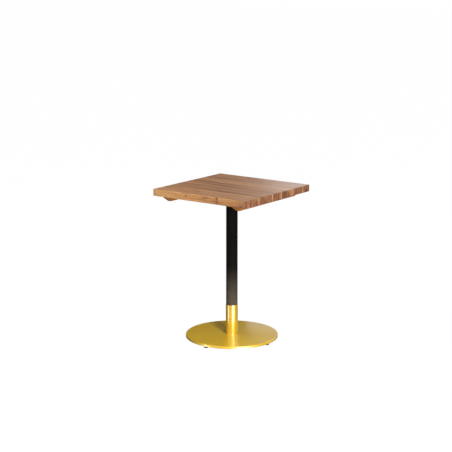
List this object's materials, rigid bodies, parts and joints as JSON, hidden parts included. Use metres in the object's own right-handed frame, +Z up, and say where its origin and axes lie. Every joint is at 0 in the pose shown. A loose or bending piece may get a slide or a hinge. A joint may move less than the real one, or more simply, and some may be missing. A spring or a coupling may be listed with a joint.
{
  "type": "bistro table",
  "caption": "Small square cafe table: glued wooden top on a slim round column with a brass-finished foot sleeve and disc base with levelling feet.",
  "frame": {"origin": "on the floor, on the column's axis, with the feet screwed right in", "axes": "+Z up the column, X along the staves' grain, Y across the staves and along the two battens"},
  "size_m": [0.535, 0.535, 0.75],
  "materials": {
    "top_wood": "oiled, satin, fine dark grain along the staves",
    "batten_wood": "planed, lightly oiled",
    "brass_finish": "fine brushed and lacquered, satin",
    "black_coat": "fine textured powder coat, matt",
    "black_iron": "black primer over a cast skin",
    "zinc_steel": "bright zinc plate",
    "foot_rubber": "matt black"
  },
  "bodies": {
    "table": {"top_stave_1": "top_wood", "top_stave_2": "top_wood", "top_stave_3": "top_wood", "top_stave_4": "top_wood", "top_stave_5": "top_wood", "top_stave_6": "top_wood", "top_stave_7": "top_wood", "top_stave_8": "top_wood", "top_stave_9": "top_wood", "left_batten": "batten_wood", "right_batten": "batten_wood", "left_batten_screw_1": "zinc_steel", "left_batten_screw_2": "zinc_steel", "left_batten_screw_3": "zinc_steel", "left_batten_screw_4": "zinc_steel", "left_batten_screw_5": "zinc_steel", "right_batten_screw_1": "zinc_steel", "right_batten_screw_2": "zinc_steel", "right_batten_screw_3": "zinc_steel", "right_batten_screw_4": "zinc_steel", "right_batten_screw_5": "zinc_steel", "top_spider": "black_iron", "spider_screw_1": "zinc_steel", "spider_screw_2": "zinc_steel", "spider_screw_3": "zinc_steel", "spider_screw_4": "zinc_steel", "spider_screw_5": "zinc_steel", "spider_screw_6": "zinc_steel", "spider_screw_7": "zinc_steel", "spider_screw_8": "zinc_steel", "column_tube": "black_coat", "brass_sleeve": "brass_finish", "centring_plug": "zinc_steel", "tie_rod": "zinc_steel", "upper_washer": "zinc_steel", "upper_nut": "zinc_steel", "lower_washer": "zinc_steel", "lower_nut": "zinc_steel", "base_cover": "brass_finish", "base_plate": "black_iron"},
    "foot_1_slider": {"foot_1_pad": "foot_rubber"},
    "foot_1_screw": {"foot_1_stud": "brass_finish"},
    "foot_2_slider": {"foot_2_pad": "foot_rubber"},
    "foot_2_screw": {"foot_2_stud": "brass_finish"},
    "foot_3_slider": {"foot_3_pad": "foot_rubber"},
    "foot_3_screw": {"foot_3_stud": "brass_finish"},
    "foot_4_slider": {"foot_4_pad": "foot_rubber"},
    "foot_4_screw": {"foot_4_stud": "brass_finish"}
  },
  "joints": [
    {"name": "foot_1_extend", "type": "slide", "parent": "table", "child": "foot_1_slider", "axis": [0, 0, -1], "range_m": [0, 0.0051]},
    {"name": "foot_1_turn", "type": "hinge", "parent": "foot_1_slider", "child": "foot_1_screw", "pos_m": [0.209, 0, 0.007], "axis": [0, 0, -1], "range_deg": [0, 1440]},
    {"name": "foot_2_extend", "type": "slide", "parent": "table", "child": "foot_2_slider", "axis": [0, 0, -1], "range_m": [0, 0.0051]},
    {"name": "foot_2_turn", "type": "hinge", "parent": "foot_2_slider", "child": "foot_2_screw", "pos_m": [0, 0.209, 0.007], "axis": [0, 0, -1], "range_deg": [0, 1440]},
    {"name": "foot_3_extend", "type": "slide", "parent": "table", "child": "foot_3_slider", "axis": [0, 0, -1], "range_m": [0, 0.0051]},
    {"name": "foot_3_turn", "type": "hinge", "parent": "foot_3_slider", "child": "foot_3_screw", "pos_m": [-0.209, 0, 0.007], "axis": [0, 0, -1], "range_deg": [0, 1440]},
    {"name": "foot_4_extend", "type": "slide", "parent": "table", "child": "foot_4_slider", "axis": [0, 0, -1], "range_m": [0, 0.0051]},
    {"name": "foot_4_turn", "type": "hinge", "parent": "foot_4_slider", "child": "foot_4_screw", "pos_m": [0, -0.209, 0.007], "axis": [0, 0, -1], "range_deg": [0, 1440]}
  ],
  "couplings": [
    {"joint": "foot_1_extend", "follows": "foot_1_turn", "m_per_rad": 0.00019894},
    {"joint": "foot_2_extend", "follows": "foot_2_turn", "m_per_rad": 0.00019894},
    {"joint": "foot_3_extend", "follows": "foot_3_turn", "m_per_rad": 0.00019894},
    {"joint": "foot_4_extend", "follows": "foot_4_turn", "m_per_rad": 0.00019894}
  ]
}
